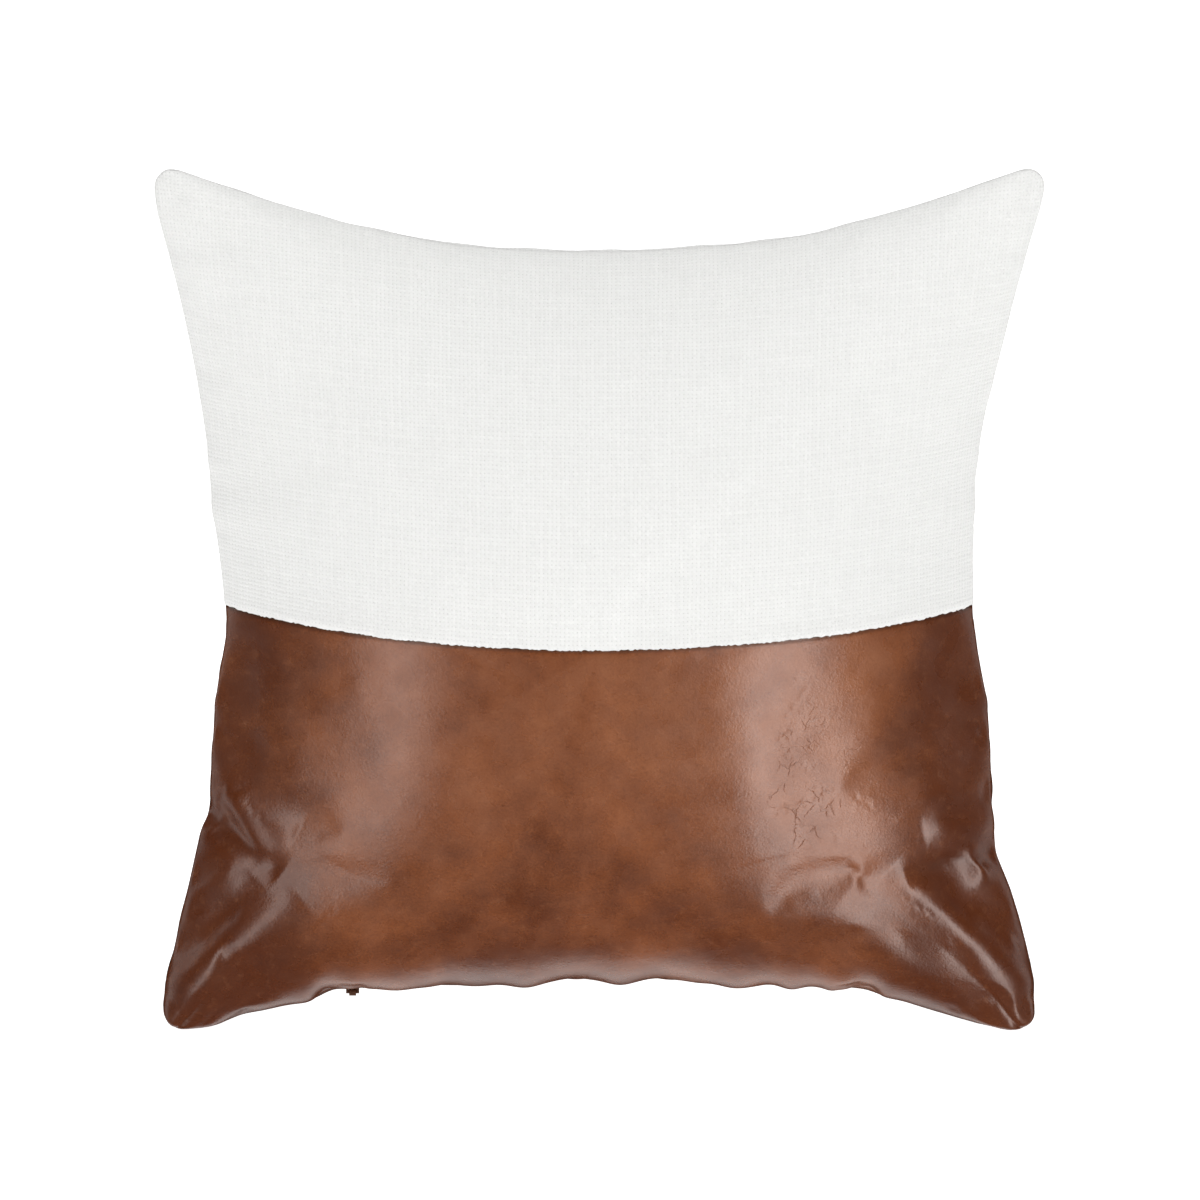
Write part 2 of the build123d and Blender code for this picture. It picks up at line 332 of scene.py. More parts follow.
def simulate():
    """Sews both faces together, blows them up as cloth and returns where they go."""
    count = COARSE * COARSE
    inner = np.zeros((COARSE, COARSE), bool)
    inner[1:-1, 1:-1] = True
    back_index = np.arange(count).reshape(COARSE, COARSE)
    back_index[inner] = count + np.arange(inner.sum())
    points = np.concatenate([front_form.reshape(-1, 3), back_form[inner]])
    back_faces = quads(COARSE, COARSE, flip=True)
    back_faces = back_index.ravel()[back_faces]
    faces = np.concatenate([quads(COARSE, COARSE), back_faces])
    cover = mesh_of("cloth_at_work", points, faces)
    held = cover.vertex_groups.new(name="held")
    held.add([int(i) for i in np.flatnonzero(~inner.ravel())], 1.0, "ADD")
    cloth = cover.modifiers.new("cloth", "CLOTH")
    settings = cloth.settings
    settings.quality = 6
    settings.mass = 0.3
    settings.tension_stiffness = 18
    settings.compression_stiffness = 18
    settings.shear_stiffness = 6
    settings.bending_stiffness = 4
    settings.tension_damping = 12
    settings.compression_damping = 12
    settings.shear_damping = 8
    settings.air_damping = 6
    settings.use_pressure = True
    settings.uniform_pressure_force = 1.5
    settings.shrink_min = -0.010
    settings.shrink_max = -0.010
    settings.vertex_group_mass = "held"
    settings.effector_weights.gravity = 0
    cloth.collision_settings.use_collision = False
    cloth.collision_settings.use_self_collision = False
    cloth.point_cache.frame_start = 1
    cloth.point_cache.frame_end = SIM_FRAMES
    scene = bpy.context.scene
    for step in range(1, SIM_FRAMES + 1):
        scene.frame_set(step)
        bpy.context.view_layer.update()
    worked = cover.evaluated_get(bpy.context.evaluated_depsgraph_get())
    moved = np.empty(len(points) * 3, np.float32)
    worked.data.vertices.foreach_get("co", moved)
    moved = moved.reshape(-1, 3).astype(float)
    mesh = cover.data
    bpy.data.objects.remove(cover)
    bpy.data.meshes.remove(mesh)
    scene.frame_set(1)
    front = moved[:count].reshape(COARSE, COARSE, 3)
    back = moved[back_index.ravel()].reshape(COARSE, COARSE, 3)
    return front, back


def blurred(values, reach):
    """A grid of values averaged over reach steps each way, three times over."""
    kernel = np.ones(2 * reach + 1) / (2 * reach + 1)
    for _ in range(3):
        for axis in (0, 1):
            padding = [(0, 0)] * values.ndim
            padding[axis] = (reach, reach)
            wide = np.pad(values, padding, "edge")
            values = np.apply_along_axis(np.convolve, axis, wide, kernel, "valid")
    return values


def settled(simulated, start):
    """How far the face moves: its gathers, and a share of its broad swelling."""
    move = simulated - start
    broad = blurred(move, 5)
    gathers = move - broad
    length = np.linalg.norm(gathers, axis=-1, keepdims=True)
    gathers = gathers * MOTION_CAP / (MOTION_CAP + length)
    share = CLOTH_SHARE + (LEATHER_SHARE - CLOTH_SHARE) * smooth(-grid_b, -0.02, 0.25)
    share = share * (1 - 0.7 * np.exp(-((grid_b / 0.12) ** 2)))
    by_zip = smooth(-grid_b, 0.72, 0.86) * smooth(0.80 - np.abs(grid_a), 0, 0.12)
    edge = smooth(1 - np.maximum(np.abs(grid_a), np.abs(grid_b)), 0, 0.10)
    broad = broad * edge[..., None] * BROAD_SHARE
    return (broad + gathers * share[..., None]) * (1 - by_zip)[..., None]


front_sim, back_sim = simulate()
front_move = settled(front_sim, front_form)
back_move = settled(back_sim, back_form)

# ---------------------------------------------------------------- finer faces


def finer(values):
    """Cubic interpolation of a grid to FINER times as many steps along both axes."""
    for axis in (0, 1):
        values = np.moveaxis(values, axis, 0)
        count = len(values)
        place = np.arange((count - 1) * FINER + 1) / FINER
        low = np.minimum(place.astype(int), count - 2)
        t = (place - low).reshape((-1,) + (1,) * (values.ndim - 1))
        before = values[np.maximum(low - 1, 0)]
        after = values[np.minimum(low + 2, count - 1)]
        here, there = values[low], values[low + 1]
        values = (
            here
            + t * (there - before) / 2
            + t**2 * (before - 2.5 * here + 2 * there - after / 2)
            + t**3 * ((after - before) / 2 + 1.5 * (here - there))
        )
        values = np.moveaxis(values, 0, axis)
    return values


FINE = (COARSE - 1) * FINER + 1
fine_steps = spread(FINE)
fine_a, fine_b = np.meshgrid(fine_steps, fine_steps)
MID = FINE // 2


def outward(points, back):
    """Unit normals of a grid of points, out of the pillow."""
    along = np.gradient(points, axis=1)
    up = np.gradient(points, axis=0)
    normal = np.cross(along, up)
    normal /= np.maximum(np.linalg.norm(normal, axis=-1, keepdims=True), 1e-12)
    return -normal if back else normal


def lengths(points, axis, start):
    """Distance along the cloth from the row or column called start."""
    step = np.linalg.norm(np.diff(points, axis=axis), axis=-1)
    total = np.cumsum(step, axis=axis)
    total = np.concatenate([np.zeros_like(np.take(total, [0], axis)), total], axis)
    return total - np.take(total, [start], axis)


def near_line(x, z, start, end):
    """Distance from a line, and how far along it, in the plane of the view."""
    start, end = np.array(start), np.array(end)
    way = end - start
    t = ((x - start[0]) * way[0] + (z - start[1]) * way[1]) / (way @ way)
    inside = np.clip(t, 0, 1)
    apart = np.hypot(x - start[0] - inside * way[0], z - start[1] - inside * way[1])
    return apart, t


def fold(x, z, start, end, width, height):
    """A soft ridge, or a groove where height is below 0, that fades at both ends."""
    apart, t = near_line(x, z, start, end)
    fade = np.clip(np.sin(np.clip(t * 0.86 + 0.07, 0, 1) * pi), 0, 1) ** 0.6
    return height * np.exp(-((apart / width) ** 2)) * fade


def crease(x, z, start, end, width, depth):
    """A narrow wandering line pressed into the leather."""
    wander_x = x + 0.0011 * np.sin(z * 900 + 3 * x * 170) + 0.0006 * np.sin(z * 2300)
    wander_z = z + 0.0011 * np.sin(x * 800 - 2 * z * 190) + 0.0006 * np.sin(x * 2100)
    apart, t = near_line(wander_x, wander_z, start, end)
    fade = np.clip(np.sin(np.clip(t * 0.8 + 0.1, 0, 1) * pi), 0, 1)
    line = np.exp(-((apart / width) ** 2)) - 0.45 * np.exp(-((apart / width / 2.6) ** 2))
    return -depth * 0.45 * line * fade


# ---------------------------------------------------------------- creases and folds
# Places are (across, up) in metres in the plane of the front view.

LEATHER_FOLDS = [
    ((-0.194, 0.104), (-0.158, 0.078), 0.0065, -0.0034),
    ((-0.192, 0.120), (-0.150, 0.098), 0.0075, 0.0024),
    ((-0.176, 0.112), (-0.163, 0.080), 0.0060, 0.0022),
    ((0.194, 0.086), (0.152, 0.074), 0.0065, -0.0024),
    ((0.190, 0.102), (0.160, 0.096), 0.0070, 0.0016),
    ((0.182, 0.088), (0.186, 0.070), 0.0050, 0.0020),
    ((0.146, 0.074), (0.207, 0.020), 0.0080, 0.0030),
    ((0.126, 0.062), (0.198, 0.008), 0.0095, -0.0018),
    ((0.152, 0.100), (0.190, 0.050), 0.0100, -0.0013),
    ((-0.150, 0.060), (-0.204, 0.016), 0.0100, 0.0026),
    ((-0.170, 0.070), (-0.206, 0.034), 0.0080, -0.0020),
    ((-0.175, 0.190), (-0.168, 0.110), 0.0100, -0.0016),
    ((0.150, 0.200), (0.162, 0.120), 0.0160, -0.0022),
    ((0.060, 0.175), (0.080, 0.090), 0.0220, 0.0018),
    ((-0.060, 0.170), (-0.110, 0.080), 0.0300, 0.0014),
]
PUCKERS = [
    (-0.133, 0.0045, -0.0040, 0.020),
    (-0.121, 0.0070, 0.0030, 0.022),
    (-0.097, 0.0090, 0.0026, 0.026),
    (-0.076, 0.0060, -0.0016, 0.018),
    (-0.037, 0.0100, 0.0032, 0.026),
    (-0.014, 0.0060, -0.0016, 0.016),
    (0.011, 0.0080, 0.0028, 0.022),
    (0.029, 0.0060, -0.0016, 0.018),
    (0.048, 0.0060, 0.0018, 0.018),
    (0.066, 0.0090, 0.0028, 0.024),
    (0.084, 0.0060, -0.0016, 0.018),
    (0.094, 0.0060, 0.0024, 0.022),
    (0.118, 0.0070, 0.0032, 0.024),
    (0.131, 0.0045, -0.0040, 0.022),
]
CREASES = [
    ((0.089, 0.152), (0.101, 0.167), 0.0012, 0.0008),
    ((0.092, 0.166), (0.096, 0.171), 0.0010, 0.0005),
    ((0.080, 0.138), (0.095, 0.145), 0.0012, 0.0008),
    ((0.087, 0.138), (0.097, 0.128), 0.0012, 0.0006),
    ((0.097, 0.128), (0.104, 0.126), 0.0011, 0.0005),
    ((0.081, 0.106), (0.104, 0.111), 0.0013, 0.0009),
    ((0.104, 0.111), (0.114, 0.117), 0.0012, 0.0008),
    ((0.104, 0.111), (0.106, 0.120), 0.0011, 0.0006),
    ((0.121, 0.115), (0.134, 0.107), 0.0012, 0.0008),
    ((0.112, 0.097), (0.121, 0.081), 0.0012, 0.0007),
    ((-0.160, 0.098), (-0.176, 0.118), 0.0014, 0.0007),
    ((-0.128, 0.060), (-0.140, 0.044), 0.0013, 0.0007),
    ((0.148, 0.064), (0.166, 0.052), 0.0014, 0.0009),
    ((0.160, 0.086), (0.176, 0.080), 0.0013, 0.0008),
]


def edge_noise(along, seed, pieces, reach):
    """A smooth random wave along a seam, from -1 to 1."""
    draw = np.random.default_rng(seed)
    wave = np.zeros_like(along)
    for n in range(pieces):
        length = draw.uniform(0.5, 1.0) * reach
        wave += draw.uniform(-1, 1) * np.sin(2 * pi * along / length + draw.uniform(0, 6))
    return wave / np.sqrt(pieces)


def leather_push(x, seen, from_bottom, leather):
    """How far folds, puckers and creases push the leather out."""
    push = np.zeros_like(x)
    for start, end, width, height in LEATHER_FOLDS:
        push += np.where(leather, fold(x, seen, start, end, width, height), 0)
    for place, width, height, reach in PUCKERS:
        rise = np.exp(-(((x - place) / (width * (1 + from_bottom / reach))) ** 2))
        push += height * rise * np.exp(-from_bottom / reach) * leather
    for start, end, width, height in CREASES:
        push += np.where(leather, crease(x, seen, start, end, width, height), 0)
    return push


def edge_gathers(across, up, leather, seed):
    """Small gathers all round the edge, stronger at the sides of the leather."""
    from_bottom = up - up[0]
    from_top = up[-1] - up
    from_side = np.minimum(across - across[:, :1], across[:, -1:] - across)
    bottom = edge_noise(across, seed, 9, 0.034) * np.exp(-from_bottom / 0.012)
    top = edge_noise(across, seed + 1, 9, 0.040) * np.exp(-from_top / 0.016)
    sides = edge_noise(up, seed + 2, 9, 0.040) * np.exp(-from_side / 0.014)
    side_size = np.where(leather, LEATHER_SIDE_GATHER, CLOTH_SIDE_GATHER)
    return bottom * BOTTOM_GATHER + top * TOP_GATHER + sides * side_size


def stuffing_lumps(across, up, seed):
    """Slow unevenness of the stuffing, none at the seams."""
    lumps = edge_noise(across * 0.8 + up * 0.5, seed, 6, 0.16)
    lumps = lumps + edge_noise(up * 0.9 - across * 0.4, seed + 1, 6, 0.19)
    return lumps * LUMPS * np.clip(fullness(fine_a) * fullness(fine_b), 0, 1)


def cross_seam_push(up, leather):
    """The leather dips into the cross seam, and the cloth stands a little proud."""
    below = np.where(leather, -up, 1.0)
    above = np.where(fine_b >= 0, up, 1.0)
    push = CLOTH_PROUD * np.exp(-((above / 0.0060) ** 2))
    push -= NARROW_DIP * np.exp(-((below / 0.0022) ** 2))
    push -= WIDE_DIP * np.exp(-((below / 0.0080) ** 2))
    return push


def lift_over_pull(points):
    """How far the leather rises over the zip's pull, at either end of its travel."""
    off_pull = (np.abs(points[..., 0]) - PULL_X) / PULL_REACH
    off_slit = np.abs(points[..., 1])
    in_reach = smooth(off_slit, 0.0013, 0.0036) * smooth(0.0185 - off_slit, 0, 0.0085)
    return PULL_GIVE * np.exp(-(off_pull**4)) * in_reach * (points[..., 2] < 0.04)


def detailed(move, depth, back, seed):
    """One whole face with its folds, and the lengths along its cloth."""
    points = form(fine_a, fine_b, depth) + finer(move)
    normal = outward(points, back)
    across = lengths(points, 1, MID)
    up = lengths(points, 0, MID)
    facing = -1 if back else 1
    x = points[..., 0] * facing
    seen = points[..., 2] * cos(VIEW_TILT) + points[..., 1] * sin(VIEW_TILT) * facing
    leather = fine_b <= 0
    push = leather_push(x, seen, up - up[0], leather)
    push += edge_gathers(across, up, leather, seed)
    push += stuffing_lumps(across, up, seed + 3)
    push += cross_seam_push(up, leather)
    push *= np.clip((fullness(fine_a) * fullness(fine_b)) / 0.05, 0, 1)
    points = points + normal * push[..., None]
    points[..., 2] += lift_over_pull(points)
    # both faces turn in where they are sewn together
    inward = np.array([0, 0, TOP_Z / 2]) - points
    inward[..., 1] = 0
    inward /= np.maximum(np.linalg.norm(inward, axis=-1, keepdims=True), 1e-9)
    turned = np.ones((FINE, FINE), bool)
    turned[1:-1, 1:-1] = False
    points = points + inward * np.where(turned, TURN_IN, 0.0)[..., None]
    gap = SLIT_GAP * np.clip((SLIT_HALF - np.abs(points[0, :, 0])) / 0.006, 0, 1)
    points[0, :, 1] = gap if back else -gap
    return points, across, up


front_points, front_across, front_up = detailed(front_move, -FRONT_DEPTH, False, 5)
back_points, back_across, back_up = detailed(back_move, BACK_DEPTH, True, 15)

# ---------------------------------------------------------------- cover panels


def panel(name, points, across, up, upper, back, node):
    """A quarter of the cover, turned in along the cross seam and the bottom seam."""
    rows = slice(MID, None) if upper else slice(0, MID + 1)
    part, flat_x, flat_z = points[rows].copy(), across[rows], up[rows]
    normal = outward(points, back)
    if upper:
        draw = np.random.default_rng(31 if back else 30)
        jag = draw.uniform(-THREAD_JAG, THREAD_JAG, FINE)
        jag = jag + edge_noise(flat_x[0], 33, 7, 0.05) * SLOW_JAG
        part[0, :, 1] = part[1, :, 1]
        part[0] += normal[MID + 2] * EDGE_LIFT
        part[0, :, 2] = SEAM_Z - EDGE_HANG + jag
        turned = part[0] - normal[MID + 2] * 0.0022 + [0, 0, 0.0003]
        deeper = turned - normal[MID + 2] * 0.0015 + [0, 0, 0.008]
        part = np.concatenate([deeper[None], turned[None], part])
        flat_x = np.concatenate([flat_x[:1], flat_x[:1], flat_x])
        flat_z = np.concatenate([flat_z[:1] - 0.010, flat_z[:1] - 0.002, flat_z])
    else:
        tucked = part[-1] - normal[MID] * 0.0008 + [0, 0, 0.0016]
        part = np.concatenate([part, tucked[None]])
        first = part[0] + [0, 0, 0.004]
        second = part[0] + [0, 0, 0.009]
        part = np.concatenate([second[None], first[None], part])
        flat_x = np.concatenate([flat_x[:1], flat_x[:1], flat_x, flat_x[-1:]])
        flat_z = np.concatenate(
            [flat_z[:1] - 0.009, flat_z[:1] - 0.004, flat_z, flat_z[-1:] + 0.002]
        )
    faces = quads(part.shape[0], part.shape[1], flip=back)
    made = mesh_of(name, part.reshape(-1, 3), faces)
    flat = np.stack([flat_x, flat_z, np.zeros_like(flat_x)], -1).reshape(-1, 3)
    stored = made.data.attributes.new("cloth_place", "FLOAT_VECTOR", "POINT")
    stored.data.foreach_set("vector", flat.astype(np.float32).ravel())
    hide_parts(node)
    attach(made, "pillow")
    return made


front_cloth = panel(
    "front_cloth", front_points, front_across, front_up, True, False, "front_fabric_panel"
)
back_cloth = panel(
    "back_cloth", back_points, back_across, back_up, True, True, "back_fabric_panel"
)
front_leather = panel(
    "front_leather",
    front_points,
    front_across,
    front_up,
    False,
    False,
    "front_leather_panel",
)
back_leather = panel(
    "back_leather", back_points, back_across, back_up, False, True, "back_leather_panel"
)


# ---------------------------------------------------------------- threads and labels


def tube(name, path, radius, sides=6):
    """A thread along a path, open at both ends, as a mesh."""
    path = np.asarray(path, float)
    along = np.gradient(path, axis=0)
    along /= np.maximum(np.linalg.norm(along, axis=1, keepdims=True), 1e-12)
    side = np.cross(along, [0.0, 1.0, 0.02])
    side /= np.maximum(np.linalg.norm(side, axis=1, keepdims=True), 1e-12)
    other = np.cross(along, side)
    turns = np.linspace(0, 2 * pi, sides, endpoint=False)
    ring = [path + radius * (cos(t) * side + sin(t) * other) for t in turns]
    ring.append(ring[0])
    points = np.stack(ring, 1)
    keep = points[:, :sides].reshape(-1, 3)
    count = len(path)
    index = np.arange(count * sides).reshape(count, sides)
    index = np.concatenate([index, index[:, :1]], 1)
    faces = np.stack(
        [index[:-1, :-1], index[:-1, 1:], index[1:, 1:], index[1:, :-1]], -1
    ).reshape(-1, 4)
    return mesh_of(name, keep, faces)


def inset_path(points, distance):
    """A closed seam's path, moved in towards the middle."""
    inward = np.array([0, 0, TOP_Z / 2]) - points
    inward[:, 1] = 0
    inward /= np.linalg.norm(inward, axis=1, keepdims=True)
    moved = points + inward * distance
    moved[:, 1] = 0
    return moved


bottom_left = front_points[0, : FINE // 2][::-1]
keep_left = np.abs(bottom_left[:, 0]) > SLIT_HALF + 0.002
bottom_right = front_points[0, FINE // 2 :]
keep_right = np.abs(bottom_right[:, 0]) > SLIT_HALF + 0.002
seam_line = np.concatenate(
    [
        bottom_left[keep_left],
        front_points[1:, 0],
        front_points[-1, 1:],
        front_points[::-1, -1][1:],
        bottom_right[keep_right][::-1][1:],
    ]
)
side_path = inset_path(seam_line, THREAD_DEPTH)[::2]
side_thread = tube("side_seam_thread", side_path, THREAD_RADIUS)
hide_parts("side_seam_stitching")
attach(side_thread, "pillow")

for face, points, back in (
    ("front", front_points, False),
    ("back", back_points, True),
):
    line = points[MID] - outward(points, back)[MID] * THREAD_DEPTH
    thread = tube(f"{face}_cross_seam_thread", line[6:-6:2], THREAD_RADIUS)
    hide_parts(f"{face}_cross_seam_stitching")
    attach(thread, "pillow")


def shrunk(points, back):
    """The insert inside the cover: smaller all round, and clear of the zip."""
    out = points.copy()
    out[..., 0] *= CASING_SHARE
    out[..., 1] *= CASING_DEPTH_SHARE
    rise = points[..., 2] - SEAM_Z
    share = np.where(rise > 0, CASING_SHARE, CASING_BOTTOM_SHARE)
    out[..., 2] = SEAM_Z + rise * share
    corners = [Vector(point) for point in points.reshape(-1, 3)]
    faces = quads(points.shape[0], points.shape[1]).tolist()
    cover = BVHTree.FromPolygons(corners, faces)
    sign = 1 if back else -1
    flat = out.reshape(-1, 3)
    for point in flat:
        start = Vector((point[0], sign, point[2]))
        hit = cover.ray_cast(start, Vector((0, -sign, 0)))[0]
        room = 0.0 if hit is None else max(0.0, sign * hit.y - CASING_ROOM)
        point[1] = sign * min(sign * point[1], room)
    return out


every = slice(None, None, FINER)
insert_front = shrunk(front_points[every, every], False)
insert_back = shrunk(back_points[every, every], True)
insert_front[[0, -1], :, 1] = 0
insert_front[:, [0, -1], 1] = 0
insert_back[[0, -1]] = insert_front[[0, -1]]
insert_back[:, [0, -1]] = insert_front[:, [0, -1]]
casing_pieces = []
for face, points, back in (("front", insert_front, False), ("back", insert_back, True)):
    casing = mesh_of(
        f"insert_{face}", points.reshape(-1, 3), quads(COARSE, COARSE, flip=back)
    )
    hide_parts(f"insert_casing_{face}")
    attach(casing, "pillow")
    casing_pieces.append(casing)

centre = np.array([0, 0, TOP_Z / 2])
inner = np.zeros((COARSE, COARSE), bool)
inner[1:-1, 1:-1] = True
fill_index = np.arange(COARSE * COARSE).reshape(COARSE, COARSE)
fill_index[inner] = COARSE * COARSE + np.arange(inner.sum())
fill_points = np.concatenate([insert_front.reshape(-1, 3), insert_back[inner]])
fill_points = centre + (fill_points - centre) * FILLING_SHARE
fill_faces = np.concatenate(
    [
        quads(COARSE, COARSE),
        fill_index.ravel()[quads(COARSE, COARSE, flip=True)],
    ]
)
filling = mesh_of("fibre_filling", fill_points, fill_faces)
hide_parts("fibre_fill")
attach(filling, "pillow")


def label(name, points, back, rows, columns, depth, node):
    """A blank woven label lying along a face."""
    inside = points - outward(points, back) * depth
    patch = inside[rows, columns]
    under = patch - outward(points, back)[rows, columns] * LABEL_THICKNESS
    height, width = patch.shape[:2]
    top = quads(height, width, flip=back)
    base = quads(height, width, flip=not back) + height * width
    made = mesh_of(
        name,
        np.concatenate([patch.reshape(-1, 3), under.reshape(-1, 3)]),
        np.concatenate([top, base]),
    )
    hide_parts(node)
    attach(made, "pillow")
    return made


cover_label = label(
    "cover_label",
    back_points,
    True,
    slice(int(FINE * 0.27), int(FINE * 0.33)),
    slice(int(FINE * 0.03), int(FINE * 0.12)),
    COVER_LABEL_DEPTH,
    "cover_care_label",
)
insert_label = label(
    "insert_label",
    insert_front,
    False,
    slice(int(COARSE * 0.20), int(COARSE * 0.28)),
    slice(int(COARSE * 0.78), int(COARSE * 0.86)),
    INSERT_LABEL_DEPTH,
    "insert_care_label",
)

# ---------------------------------------------------------------- materials


class Maker:
    """Adds shader nodes to a material and joins them up."""

    def __init__(self, name):
        self.material = bpy.data.materials.new(name)
        self.material.use_nodes = True
        self.tree = self.material.node_tree
        self.tree.nodes.clear()
        self.shader = self.add("ShaderNodeBsdfPrincipled")
        out = self.add("ShaderNodeOutputMaterial")
        self.tree.links.new(self.shader.outputs[0], out.inputs["Surface"])

    def add(self, kind, **values):
        node = self.tree.nodes.new(kind)
        for key, value in values.items():
            setattr(node, key, value)
        return node

    def put(self, value, socket):
        if hasattr(value, "links"):
            self.tree.links.new(value, socket)
        else:
            socket.default_value = value

    def math(self, operation, first, second=None, clamp=False):
        node = self.add("ShaderNodeMath", operation=operation, use_clamp=clamp)
        self.put(first, node.inputs[0])
        if second is not None:
            self.put(second, node.inputs[1])
        return node.outputs[0]

    def place(self):
        return self.add("ShaderNodeAttribute", attribute_name="cloth_place").outputs[
            "Vector"
        ]

    def noise(self, vector, scale, detail=2.0, roughness=0.5):
        node = self.add("ShaderNodeTexNoise")
        self.put(vector, node.inputs["Vector"])
        node.inputs["Scale"].default_value = scale
        node.inputs["Detail"].default_value = detail
        node.inputs["Roughness"].default_value = roughness
        return node.outputs["Fac"]

    def cells(self, vector, scale, feature="F1"):
        node = self.add("ShaderNodeTexVoronoi", feature=feature)
        self.put(vector, node.inputs["Vector"])
        node.inputs["Scale"].default_value = scale
        return node.outputs["Distance"]

    def span(self, value, low, high, to_low=0.0, to_high=1.0):
        node = self.add("ShaderNodeMapRange")
        self.put(value, node.inputs["Value"])
        for key, number in zip(
            ("From Min", "From Max", "To Min", "To Max"), (low, high, to_low, to_high)
        ):
            node.inputs[key].default_value = number
        return node.outputs["Result"]

    def mix(self, factor, first, second):
        node = self.add("ShaderNodeMix", data_type="RGBA")
        self.put(factor, node.inputs[0])
        for value, socket in ((first, node.inputs[6]), (second, node.inputs[7])):
            self.put(value if hasattr(value, "links") else (*value, 1.0), socket)
        return node.outputs[2]

    def bump(self, height, distance, strength=1.0, under=None):
        node = self.add("ShaderNodeBump")
        self.put(height, node.inputs["Height"])
        node.inputs["Distance"].default_value = distance
        node.inputs["Strength"].default_value = strength
        if under is not None:
            self.put(under, node.inputs["Normal"])
        return node.outputs["Normal"]

    def finish(self, colour, roughness, normal=None, **more):
        self.put(colour, self.shader.inputs["Base Color"])
        self.put(roughness, self.shader.inputs["Roughness"])
        if normal is not None:
            self.put(normal, self.shader.inputs["Normal"])
        for key, value in more.items():
            self.put(value, self.shader.inputs[key.replace("_", " ")])
        return self.material


WEAVE_PITCH = 0.00204


def woven(name, pitch, thread, gap_shade, depth):
    """Plain-weave cloth, from where each point lies on the flat cloth."""
    make = Maker(name)
    place = make.place()
    wander = make.add("ShaderNodeTexNoise")
    make.put(place, wander.inputs["Vector"])
    wander.inputs["Scale"].default_value = 90
    wander.inputs["Detail"].default_value = 2
    offset = make.add("ShaderNodeVectorMath", operation="MULTIPLY_ADD")
    make.put(wander.outputs["Color"], offset.inputs[0])
    offset.inputs[1].default_value = (pitch * 0.5, pitch * 0.5, 0)
    make.put(place, offset.inputs[2])
    parts = make.add("ShaderNodeSeparateXYZ")
    make.put(offset.outputs[0], parts.inputs[0])
    waves = [
        make.math("SINE", make.math("MULTIPLY", parts.outputs[i], pi / pitch))
        for i in (0, 1)
    ]
    warp, weft = (make.math("ABSOLUTE", wave) for wave in waves)
    over = make.math("MULTIPLY", waves[0], waves[1])
    warp_height = make.math("MULTIPLY", warp, make.math("ADD", over, 1.35))
    weft_height = make.math("MULTIPLY", weft, make.math("SUBTRACT", 1.35, over))
    height = make.math("MULTIPLY", make.math("MAXIMUM", warp_height, weft_height), 0.5)
    fuzz = make.noise(place, 2600, 3)
    height = make.math("ADD", height, make.math("MULTIPLY", fuzz, 0.28))
    slubs = []
    for stretch in ((0.05, 1, 1), (1, 0.05, 1)):
        drawn_out = make.add("ShaderNodeVectorMath", operation="MULTIPLY")
        make.put(offset.outputs[0], drawn_out.inputs[0])
        drawn_out.inputs[1].default_value = stretch
        slubs.append(make.noise(drawn_out.outputs[0], 520, 3, 0.6))
    on_top = make.math("GREATER_THAN", warp_height, weft_height)
    slub = make.add("ShaderNodeMix", data_type="FLOAT")
    make.put(on_top, slub.inputs[0])
    make.put(slubs[0], slub.inputs[2])
    make.put(slubs[1], slub.inputs[3])
    tone = make.mix(
        make.span(slub.outputs[0], 0.36, 0.62), [c * 0.955 for c in thread], thread
    )
    # painted shade: where the threads part, the colour goes darker, standing in for shade in the
    # gaps
    shut = make.span(height, 0.12, 0.55)
    open_here = make.span(make.noise(place, 420, 3, 0.7), 0.40, 0.68, 0.34, 1.0)
    gap = make.math("MULTIPLY", make.math("SUBTRACT", 1.0, shut), open_here)
    colour = make.mix(gap, tone, gap_shade)
    normal = make.bump(height, depth, 0.8)
    return make.finish(
        colour,
        0.92,
        normal,
        Specular_IOR_Level=0.15,
        Sheen_Weight=0.15,
        Sheen_Roughness=0.5,
    )


